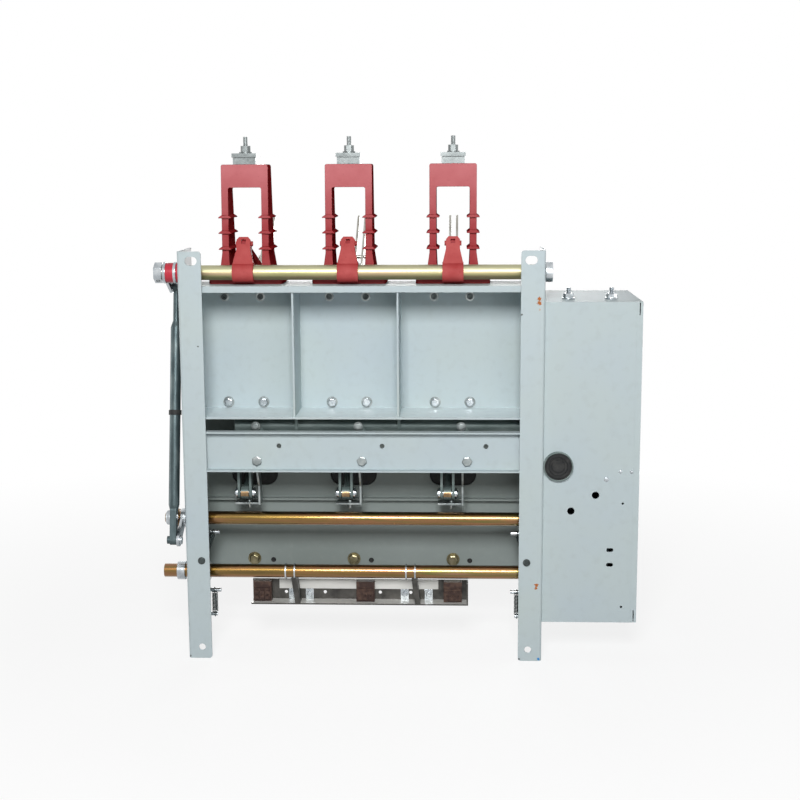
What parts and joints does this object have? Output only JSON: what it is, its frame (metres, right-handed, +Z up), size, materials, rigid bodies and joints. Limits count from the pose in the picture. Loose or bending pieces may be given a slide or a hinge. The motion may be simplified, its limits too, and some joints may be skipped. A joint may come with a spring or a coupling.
{
  "type": "indoor vacuum load-break switch",
  "caption": "Indoor vacuum load-break switch: grey steel frame, red epoxy insulators, isolating knives, earthing bar and a mechanism box on the right.",
  "frame": {"origin": "left post's front face, on the post's centre line, at the height of its foot", "axes": "+X to the right along the frame, +Y to the back, +Z up"},
  "size_m": [0.975, 0.5166, 1.064],
  "materials": {
    "painted_steel": "satin grey paint",
    "red_epoxy": "cast epoxy",
    "red_straps": "moulded",
    "zinc": "zinc plated",
    "gold_zinc": "yellow passivated zinc",
    "aluminium": "satin",
    "silvered_copper": "silver plated",
    "ceramic": "glazed",
    "black_rubber": "matte",
    "contact_brown": "dark finish"
  },
  "bodies": {
    "frame": {"left_post": "painted_steel", "right_post": "painted_steel", "upper_channel": "painted_steel", "channel_ribs": "painted_steel", "middle_beam": "painted_steel", "slotted_plate": "painted_steel", "lower_panel": "painted_steel", "mechanism_box": "painted_steel", "box_side_cover": "painted_steel", "cable_gland": "black_rubber", "insulator_1": "red_epoxy", "insulator_2": "red_epoxy", "insulator_3": "red_epoxy", "top_terminals": "aluminium", "upper_supports": "red_epoxy", "lower_supports": "red_epoxy", "interrupter_1": "ceramic", "interrupter_2": "ceramic", "interrupter_3": "ceramic", "hinge_heads": "aluminium", "lower_heads": "aluminium", "bell_cranks": "zinc", "pull_rods": "red_epoxy", "breaker_shaft": "zinc", "shaft_hangers": "painted_steel", "clevis_pins": "gold_zinc", "stop_brackets": "zinc", "spring_studs": "zinc", "drive_springs": "zinc", "earth_springs": "zinc"},
    "isolator": {"isolator_shaft": "gold_zinc", "crank_strap_1": "red_straps", "crank_strap_2": "red_straps", "crank_strap_3": "red_straps", "end_lever": "red_straps"},
    "pull_links": {"pull_links": "red_epoxy"},
    "link_rod": {"link_rod": "zinc"},
    "drive": {"drive_shaft": "gold_zinc", "drive_levers": "zinc"},
    "knives": {"knife_blades": "silvered_copper"},
    "earth": {"earth_shaft": "gold_zinc", "earth_levers": "zinc", "earth_bar": "zinc", "contact_blocks": "contact_brown", "earth_strip": "silvered_copper"}
  },
  "joints": [
    {"name": "isolator_turn", "type": "hinge", "parent": "frame", "child": "isolator", "pos_m": [0, 0.045, 0.795], "axis": [1, 0, 0], "range_deg": [0, 60]},
    {"name": "drive_turn", "type": "hinge", "parent": "frame", "child": "drive", "pos_m": [0, 0.045, 0.288], "axis": [1, 0, 0], "range_deg": [-60, 0], "deforming": ["drive_springs"]},
    {"name": "link_swing", "type": "hinge", "parent": "isolator", "child": "link_rod", "pos_m": [0, 0.10129, 0.7625], "axis": [1, 0, 0], "range_deg": [-60, 0]},
    {"name": "knife_swing", "type": "hinge", "parent": "frame", "child": "knives", "pos_m": [0, 0.268, 0.73], "axis": [1, 0, 0], "range_deg": [0, 60]},
    {"name": "pull_swing", "type": "hinge", "parent": "isolator", "child": "pull_links", "pos_m": [0, 0.06552, 0.85138], "axis": [1, 0, 0], "range_deg": [-60, 0]},
    {"name": "earth_turn", "type": "hinge", "parent": "frame", "child": "earth", "pos_m": [0, 0.045, 0.175], "axis": [1, 0, 0], "range_deg": [0, 90], "deforming": ["earth_springs"]}
  ],
  "couplings": [
    {"joint": "drive_turn", "follows": "isolator_turn", "ratio": -1},
    {"joint": "link_swing", "follows": "isolator_turn", "ratio": -1},
    {"joint": "knife_swing", "follows": "isolator_turn", "ratio": 1},
    {"joint": "pull_swing", "follows": "isolator_turn", "ratio": -1}
  ]
}
